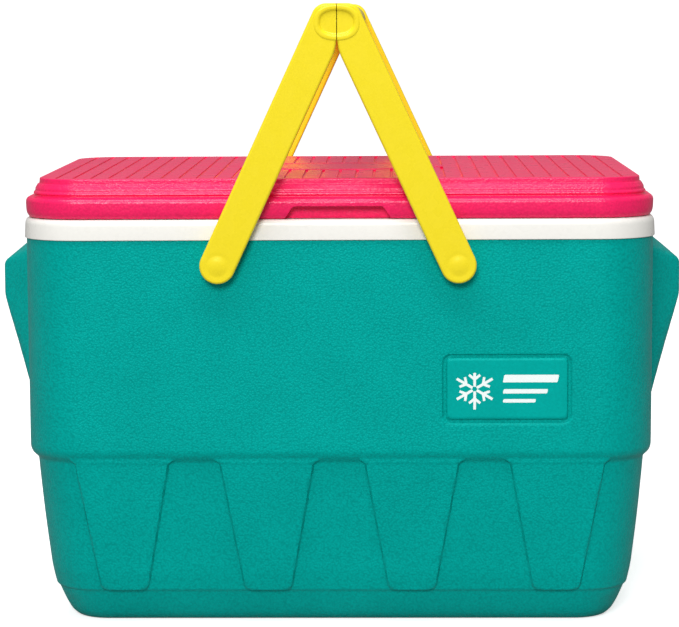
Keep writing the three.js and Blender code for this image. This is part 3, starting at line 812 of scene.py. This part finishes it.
# ---------- Tub: liner with the rim ----------
LINER_SECTION = [
    (150, 20.1, 4, 0), (173.9, 20.1, 17, 3), (183.9, 24.9, 25.9, 5), (187.9, 36.9, 29.9, 6), (198.7, 271.9, 35.9, 2),
    (199.9, 278.2, 36, 1), (213.7, 278.2, 37.2, 0.5), (213.7, 267.1, 37.2, 0.3), (216.5, 267.1, 40, 0.5),
    (216.0, 278.4, 39.5, 2.0), (214.2, 281.0, 37.7, 1.8), (199.5, 281.0, 35, 1.6), (197.2, 278.8, 34, 1.8),
    (196.9, 273, 34, 2), (186, 38, 28, 8), (182, 25.4, 24, 6), (173.5, 22.0, 17, 6), (150, 22.0, 4, 0),
]


# ---------- Lid ----------
LID_SECTION = upper([
    (170, 305.8, 0), (200.2, 305.8, 2), (203.2, 302.6, 2), (205.8, 297.6, 2), (208.4, 293.2, 1.4), (211.8, 290.8, 1.6),
    (211.4, 284, 1), (211.1, 281.4, 0.4), (213.0, 281.4, 0.7), (214.9, 284.2, 1.8), (215.3, 288.6, 2),
    (215.3, 293.0, 1.3), (213.6, 295.0, 0.9), (210.0, 295.2, 0.4), (209.0, 296.0, 0.4), (209.0, 296.8, 0.3),
    (210.0, 297.4, 0.35), (209.8, 298.4, 0.4), (208.8, 299.3, 0.5), (208.7, 301.0, 0.6), (207.0, 303.9, 0.6),
    (205.9, 304.3, 0.4), (205.7, 307.4, 0.4), (205.1, 308.0, 0.4), (202.6, 308.0, 0), (196, 308.0, 0),
])
LID_LINER_SECTION = [
    (160, 262, 12, 0), (182.5, 262, 20, 4), (191, 265, 26, 4), (194.5, 281.3, 31, 0.6), (210.7, 281.3, 34.2, 0.3),
    (210.7, 283.1, 34.2, 0.3), (192.7, 283.1, 29, 0.5), (189.2, 266, 24.2, 3), (180.7, 263.8, 18.2, 3),
    (160, 263.8, 10, 0),
]
LID_FRONT = -150.0
GROOVE_LEVEL = 307.8  # height of the middle of the grooves' round section, just inside the top face
# The oval pad's inset and height, with softness, from its foot in the top face to the edge of its dish.
PAD_SECTION = [
    (0, 306.6, 0), (0, 308.1, 0.4), (0.9, 308.6, 0.5), (5.0, 308.6, 0.6), (6.2, 308.15, 0.6), (10, 308.15, 0),
]
NOTCH = {"top": 30.5, "foot": 36.0, "low": 281.4, "high": 290.0, "depth": 9.0, "wall": 2.2}


def notch_outline(grow):
    """The finger notch from the front, larger by a margin."""
    low, high = NOTCH["low"] - 2, NOTCH["high"] + grow
    foot, top = NOTCH["foot"] + grow + 1.2, NOTCH["top"] + grow
    return rounded_outline([(-foot, low), (foot, low), (top, high), (-top, high)], 2.2, 5)


def build_lid(sizes):
    lid = lofted("lid_top", LID_SECTION, steps=20)
    deep = LID_FRONT + NOTCH["depth"]
    wall, low = NOTCH["wall"], NOTCH["low"]
    combine(lid, plate("housing", notch_outline(wall), LID_FRONT + 4.2, deep + wall, 0.6, 2), "UNION")
    below = [(-60, low - 5.4), (60, low - 5.4), (60, low), (-60, low)]
    combine(lid, plate("trim", below, LID_FRONT - 2, deep + 6), "DIFFERENCE")
    combine(lid, plate("scoop", notch_outline(0.0), LID_FRONT - 12, deep, 1.6, 4), "DIFFERENCE")
    groove_tree().run(
        lid, Count=sizes.groove_count, Pitch=sizes.groove_pitch, Length=sizes.groove_length,
        Radius=sizes.groove_width / 2, Height=GROOVE_LEVEL * MM, Material=finish("lid"),
    )
    pad = oval_pad(sizes.pad_length / MM / 2, sizes.pad_width / MM / 2)
    combine(lid, pad, "UNION")
    return even_shading(lid, 30)


def oval_pad(reach_x, reach_y):
    """The plain oval that stands a little out of the lid's top, with a rounded edge and a shallow dish."""
    angles = np.linspace(0, 2 * math.pi, 96, endpoint=False)
    return ring_piece("pad", [
        np.stack([(reach_x - inset) * np.cos(angles), (reach_y - inset) * np.sin(angles), np.full(angles.size, z)], 1)
        for inset, z in softened(PAD_SECTION, 4)
    ])


def build_lid_liner():
    liner = lofted("lid_underside", LID_LINER_SECTION)
    deep = LID_FRONT + NOTCH["depth"] + 2.6
    gap = plate("gap", [(-39.5, 279), (39.5, 279), (39.5, 295), (-39.5, 295)], LID_FRONT - 2, deep)
    combine(liner, gap, "DIFFERENCE")
    bore, recess = FILLER["bore"], FILLER["recess"]
    well = turned("well", [
        (0, 250, 0), (recess, 250, 0), (recess, 262.9, 0), (bore, 262.9, 0), (bore, 275, 0), (0, 275, 0),
    ])
    combine(liner, well, "DIFFERENCE")
    return even_shading(liner)


# ---------- Bail handles, shaped as the right-hand one ----------
ARM = {"inner": 152.5, "outer": 160.5, "lean": math.radians(24.9), "seam": 0.3}
CROWN = {"x": 7.0, "radius": 9.9, "top": 425.5}
CROTCH_BEND = 7.0
GRIP_LEVEL = 412.8
HOLLOWS_LENGTH = 280.0
PEG_REACH = 146.0
# The peg on the right grip and its hole in the left one: radius and distance past the seam, with softness.
PEG = [(0, -2.2, 0), (2.0, -2.2, 0.4), (2.8, -1.2, 0.5), (2.8, 2, 0), (0, 2, 0)]
PEG_HOLE = [(0, -2, 0), (4.4, -2, 0), (4.4, 3.4, 0), (0, 3.4, 0)]
OVAL_POWER = 2 / 2.4  # below 1, so that the grips' oval is a little squarer than an ellipse
# The shallow basin in an arm's foot and the dome in it: radius and distance out of the arm's face, with softness.
FOOT_BASIN = [(0, -0.2, 0), (7.0, -0.2, 1.6), (10.9, 0.01, 0), (10.9, 2, 0), (0, 2, 0)]
FOOT_DOME = [
    (0, -1, 0), (7.6, -1, 0), (7.6, -0.22, 0.1), (5.6, 0.02, 1.8), (3.2, 0.38, 1.8), (1.2, 0.49, 1.0), (0, 0.5, 0),
]


def arm_outline(half):
    """The right-hand arm in X-Z, anticlockwise from the left of its foot to its inner edge."""
    lean, seam = ARM["lean"], ARM["seam"]
    along = np.array([-math.sin(lean), math.cos(lean)])
    across = np.array([math.cos(lean), math.sin(lean)])
    inner = np.array(PIVOT) - half * across
    reach = (inner[0] - seam) / -along[0]
    crotch = np.array([seam, inner[1] + along[1] * reach])
    points = arc(*PIVOT, half, math.pi + lean, 2 * math.pi + lean, 28)
    points += arc(CROWN["x"], CROWN["top"] - CROWN["radius"], CROWN["radius"], lean, math.pi / 2, 10)
    points += [(seam, CROWN["top"])]
    inner_bend = bend(crotch + (0, CROTCH_BEND), crotch, inner + along * (reach - CROTCH_BEND), 6)
    return points + [tuple(point) for point in inner_bend]


def half_oval(sizes, grow, seam=ARM["seam"]):
    """The right half of the oval that the two grips make, as an X-Z outline."""
    half_width, half_height = sizes.grip_width / MM / 2 + grow, sizes.grip_height / MM / 2 + grow
    out = []
    for angle in np.linspace(-math.pi / 2, math.pi / 2, 31):
        c, s = math.cos(angle), math.sin(angle)
        rise = half_height * math.copysign(abs(s) ** OVAL_POWER, s)
        out.append((max(half_width * abs(c) ** OVAL_POWER, seam), GRIP_LEVEL + rise))
    return out


def half_oval_solid(name, sizes, levels, seam=ARM["seam"]):
    """A solid along Y whose sections are half ovals, from (growth, y, softness) levels."""
    rings = [[(x, y, z) for x, z in half_oval(sizes, grow, seam)] for grow, y in softened(levels, 4)]
    piece = ring_piece(name, np.array(rings)[:, ::-1])
    recalc(piece)
    return piece


def build_arm(name, sizes, side_x, side_y):
    inner, outer = ARM["inner"], ARM["outer"]
    arm = plate(name, arm_outline(sizes.arm_width / MM / 2), inner, outer, sizes.arm_round / MM, 5)
    boss = half_oval_solid("boss", sizes, [
        (-0.5, outer - 1.2, 0), (-0.5, outer - 0.1, 0.8), (-1.3, outer + 0.5, 0.8), (-4, outer + 0.5, 0),
    ])
    combine(arm, boss, "UNION")
    dish = half_oval_solid("dish", sizes, [
        (-6.2, outer - 1.05, 0), (-5.0, outer - 1.0, 0.8), (-4.3, outer, 0.6), (-3.2, outer + 0.52, 0.8),
        (-2.0, outer + 0.9, 0),
    ], seam=0)
    combine(arm, dish, "DIFFERENCE")
    for part, section, operation in (("basin", FOOT_BASIN, "DIFFERENCE"), ("dome", FOOT_DOME, "UNION")):
        section = [(radius, outer + out, soft) for radius, out, soft in section]
        combine(arm, turned(part, section, (PIVOT[0], 0, PIVOT[1]), 1), operation)
    combine(arm, plate("tenon", half_oval(sizes, -1.5), inner - 1, inner + 4), "DIFFERENCE")
    recalc(arm)
    mirror(arm, side_x, side_y)
    return even_shading(arm, 34)


def build_grip(name, sizes, side_x):
    bare, tenon = ARM["inner"] - 0.3, ARM["inner"] + 3.7
    right = [(0, bare - 0.6, 0.4), (-0.5, bare, 0.3), (-1.8, bare + 0.02, 0), (-1.8, tenon, 0)]
    left = [(grow, -y, soft) for grow, y, soft in reversed(right)]
    grip = half_oval_solid(name, sizes, left + right)
    hollow_tree().run(grip, Count=sizes.rib_count, Pitch=HOLLOWS_LENGTH * MM / sizes.rib_count, Level=GRIP_LEVEL * MM,
                      Material=finish("handle"))
    section, operation = (PEG, "UNION") if side_x > 0 else (PEG_HOLE, "DIFFERENCE")
    for y in (-PEG_REACH, PEG_REACH):
        peg = turned("peg", section)
        place = Vector((ARM["seam"], y, GRIP_LEVEL)) * MM
        peg.data.transform(Matrix.Translation(place) @ Matrix.Rotation(math.pi / 2, 4, "Y"))
        combine(grip, peg, operation)
    mirror(grip, side_x, 1)
    return even_shading(grip, 34)


# ---------- Operators ----------
PRINT = {"star": 92, "face": -149.42, "thick": 0.2}  # X of the star, Y of the print's face, and its thickness
BARS = ((170, 175.2, 111, 148), (162.4, 165.4, 111, 141), (156.2, 158.6, 111, 133))  # low, high, start and end
SOCKET_CUP = [
    (0, 136.6, 0), (8.7, 136.6, 0.4), (8.7, 149.5, 0.2), (11.4, 149.5, 0.2), (11.4, 152.2, 0.7), (5.25, 152.2, 0.3),
    (5.25, 145, 0), (6.4, 144.2, 0), (6.4, 139.4, 0), (0, 139.4, 0),
]


class COOLER_OT_shell(bpy.types.Operator):
    """Make the tub's outer shell, with its panels, name plate and end grips"""

    bl_idname = "cooler.shell"
    bl_label = "Outer shell"

    def execute(self, context):
        seat(build_shell(context.scene.cooler_tub), "chest", "shell", "outer_shell")
        seat(filler_plug("base_filler_plug", 0.4, 2.3, 10), "chest", "shell", "body_filler_plug")
        return {"FINISHED"}


class COOLER_OT_mark(bpy.types.Operator):
    """Print the frost star and its three bars on the name plate"""

    bl_idname = "cooler.mark"
    bl_label = "Printed mark"

    def execute(self, context):
        right = [(0.9, 14.0), (0.9, 8.5), (3.3, 10.3), (4.3, 9.0), (0.9, 6.2), (0.9, 1.6)]
        arm = [(-x, z) for x, z in reversed(right)] + right
        star = plate("plate_mark", arm, 0.0, PRINT["thick"])
        frost_tree().run(star, Arms=6, X=PRINT["star"] * MM, Y=PRINT["face"] * MM, Z=PLATE_CENTRE[1] * MM,
                         Material=finish("mark"))
        recalc(star)
        for low, high, start, end in BARS:
            lean = 0.22 * (high - low)
            outline = rounded_outline([(start, low), (end, low), (end + lean, high), (start + lean, high)], 0.9, 4)
            combine(star, plate("bar", outline, PRINT["face"], PRINT["face"] + PRINT["thick"]), "UNION")
        seat(star, "chest", "liner", look="mark")
        return {"FINISHED"}


class COOLER_OT_liner(bpy.types.Operator):
    """Make the inner liner with the white rim"""

    bl_idname = "cooler.liner"
    bl_label = "Liner and rim"

    def execute(self, context):
        seat(lofted("liner", LINER_SECTION, sharp=50), "chest", "liner", "inner_liner", look="rim")
        return {"FINISHED"}


class COOLER_OT_lid(bpy.types.Operator):
    """Make the lid with its grooves, oval pad and finger notch, its underside and its filler plug"""

    bl_idname = "cooler.lid"
    bl_label = "Lid"

    def execute(self, context):
        seat(build_lid(context.scene.cooler_lid), "lid", "lid", "lid_shell")
        seat(build_lid_liner(), "lid", "liner", "lid_liner", look="rim")
        plug = filler_plug("lid_filler_plug_cap", 261.2, 262.6, 270)
        seat(plug, "lid", "liner", "lid_filler_plug", look="rim")
        return {"FINISHED"}


class COOLER_OT_arms(bpy.types.Operator):
    """Make the four flat arms of the bail handles"""

    bl_idname = "cooler.arms"
    bl_label = "Bail arms"

    def execute(self, context):
        for place, side_y, hand, side_x in CORNERS:
            arm = build_arm(f"arm_{place}_{hand}", context.scene.cooler_handle, side_x, side_y)
            seat(arm, f"bail_{hand}", "handle", f"bail_arm_{place}_{hand}")
            coat(f"pivot_stud_{place}_{hand}", "handle")
        return {"FINISHED"}


class COOLER_OT_grips(bpy.types.Operator):
    """Make the two half-oval grips, with their hollows and pegs"""

    bl_idname = "cooler.grips"
    bl_label = "Bail grips"

    def execute(self, context):
        for hand, side_x in (("left", -1), ("right", 1)):
            grip = build_grip(f"grip_{hand}", context.scene.cooler_handle, side_x)
            seat(grip, f"bail_{hand}", "handle", f"bail_grip_{hand}")
        return {"FINISHED"}


class COOLER_OT_sockets(bpy.types.Operator):
    """Make the pivot sockets that hold the arms off the tub"""

    bl_idname = "cooler.sockets"
    bl_label = "Pivot sockets"

    def execute(self, context):
        for place, side_y, hand, side_x in CORNERS:
            socket = turned(f"socket_{place}_{hand}", SOCKET_CUP, (side_x * PIVOT[0], 0, PIVOT[1]), side_y)
            seat(socket, "chest", "socket", f"pivot_socket_{place}_{hand}")
        return {"FINISHED"}


class COOLER_OT_insulation(bpy.types.Operator):
    """Give the insulation in the tub and in the lid its foam finish"""

    bl_idname = "cooler.insulation"
    bl_label = "Insulation"

    def execute(self, context):
        for node in ("body_insulation", "lid_insulation"):
            coat(node, "foam")
        return {"FINISHED"}


def lay_floor(glow):
    """A pale table that the camera sees brighter than the cooler does, so that it throws little light back up."""
    reach = 6000
    floor = new_piece("floor", [(-reach, -reach, 0), (reach, -reach, 0), (reach, reach, 0), (-reach, reach, 0)],
                      [(0, 1, 2, 3)])
    paper = bpy.data.materials.new("studio paper")
    paper.use_nodes = True
    nodes, links = paper.node_tree.nodes, paper.node_tree.links
    bright, dull = nodes["Principled BSDF"], nodes.new("ShaderNodeBsdfDiffuse")
    for socket, value in {"Base Color": (0.93, 0.93, 0.93, 1), "Roughness": 0.9, "Specular IOR Level": 0.0,
                          "Emission Color": (1, 1, 1, 1), "Emission Strength": glow}.items():
        bright.inputs[socket].default_value = value
    dull.inputs["Color"].default_value = (0.4, 0.4, 0.4, 1)
    seen, mix = nodes.new("ShaderNodeLightPath"), nodes.new("ShaderNodeMixShader")
    links.new(seen.outputs["Is Camera Ray"], mix.inputs[0])
    links.new(dull.outputs[0], mix.inputs[1])
    links.new(bright.outputs[0], mix.inputs[2])
    links.new(mix.outputs[0], nodes["Material Output"].inputs["Surface"])
    floor.data.materials.append(paper)


def white_surround(lit, seen_as):
    """A white world, with one strength as a light and another as the backdrop."""
    world = bpy.data.worlds.new("white surround")
    world.use_nodes = True
    nodes, links = world.node_tree.nodes, world.node_tree.links
    background = nodes["Background"]
    background.inputs["Color"].default_value = (1, 1, 1, 1)
    seen, strength = nodes.new("ShaderNodeLightPath"), nodes.new("ShaderNodeMapRange")
    strength.inputs["To Min"].default_value = lit
    strength.inputs["To Max"].default_value = seen_as
    links.new(seen.outputs["Is Camera Ray"], strength.inputs["Value"])
    links.new(strength.outputs[0], background.inputs["Strength"])
    return world


def aim(light, heading):
    light.rotation_euler = Vector(heading).to_track_quat("-Z", "Y").to_euler()


# Broad lights: name, degrees across and heading. Then the softbox over the cooler.
SUNS = (("key", 20, (0.09, 0.9, -0.42)), ("fill", 50, (-0.35, -0.8, -0.45)))
SOFTBOX = {"size": (1.1, 0.35), "place": (-0.12, -0.5, 1.4), "aimed at": (0, 0, 0.22)}


def hang_lights(studio):
    for name, across, heading in SUNS:
        light = bpy.data.lights.new(name, "SUN")
        light.energy = getattr(studio, name)
        light.angle = math.radians(across)
        lamp = linked(name, light)
        aim(lamp, heading)
        lamp.visible_glossy = name == "key"
    box = bpy.data.lights.new("softbox", "AREA")
    box.energy = studio.softbox
    box.shape = "RECTANGLE"
    box.size, box.size_y = SOFTBOX["size"]
    hung = linked("softbox", box)
    hung.location = SOFTBOX["place"]
    aim(hung, Vector(SOFTBOX["aimed at"]) - hung.location)


class COOLER_OT_stage(bpy.types.Operator):
    """Set up the floor, the soft lights and the camera"""

    bl_idname = "cooler.stage"
    bl_label = "Stage"

    def execute(self, context):
        scene, studio = context.scene, context.scene.cooler_studio
        scene.view_settings.view_transform = "Standard"
        lay_floor(studio.floor_glow)
        scene.world = white_surround(studio.surround, studio.backdrop)
        hang_lights(studio)
        camera = bpy.data.cameras.new("camera")
        camera.sensor_width = 36
        camera.lens = studio.lens
        camera.clip_end = 50
        scene.camera = linked("camera", camera)
        scene.camera.location = studio.camera_place
        scene.camera.rotation_euler = studio.camera_turn
        return {"FINISHED"}


class COOLER_PT_panel(bpy.types.Panel):
    """Lists the cooler's pieces"""

    bl_idname = "COOLER_PT_panel"
    bl_label = "Picnic cooler chest"
    bl_space_type = "VIEW_3D"
    bl_region_type = "UI"
    bl_category = "Cooler"

    def draw(self, context):
        for operator in OPERATORS:
            self.layout.operator(operator.bl_idname, text=operator.bl_label)
        for group in GROUPS:
            settings = getattr(context.scene, group)
            box = self.layout.box()
            for name in settings.bl_rna.properties.keys():
                if name not in {"rna_type", "name"}:
                    box.prop(settings, name)


OPERATORS = (
    COOLER_OT_stage, COOLER_OT_shell, COOLER_OT_mark, COOLER_OT_liner, COOLER_OT_lid, COOLER_OT_arms,
    COOLER_OT_grips, COOLER_OT_sockets, COOLER_OT_insulation,
)


def register():
    for group in (*GROUPS.values(), *OPERATORS, COOLER_PT_panel):
        bpy.utils.register_class(group)
    for name, group in GROUPS.items():
        setattr(bpy.types.Scene, name, PointerProperty(type=group))


def unregister():
    for name in GROUPS:
        delattr(bpy.types.Scene, name)
    for group in (COOLER_PT_panel, *reversed(OPERATORS), *reversed(GROUPS.values())):
        bpy.utils.unregister_class(group)


def main():
    register()
    for operator in OPERATORS:
        _, name = operator.bl_idname.split(".")
        getattr(bpy.ops.cooler, name)()


if __name__ == "__main__":
    main()
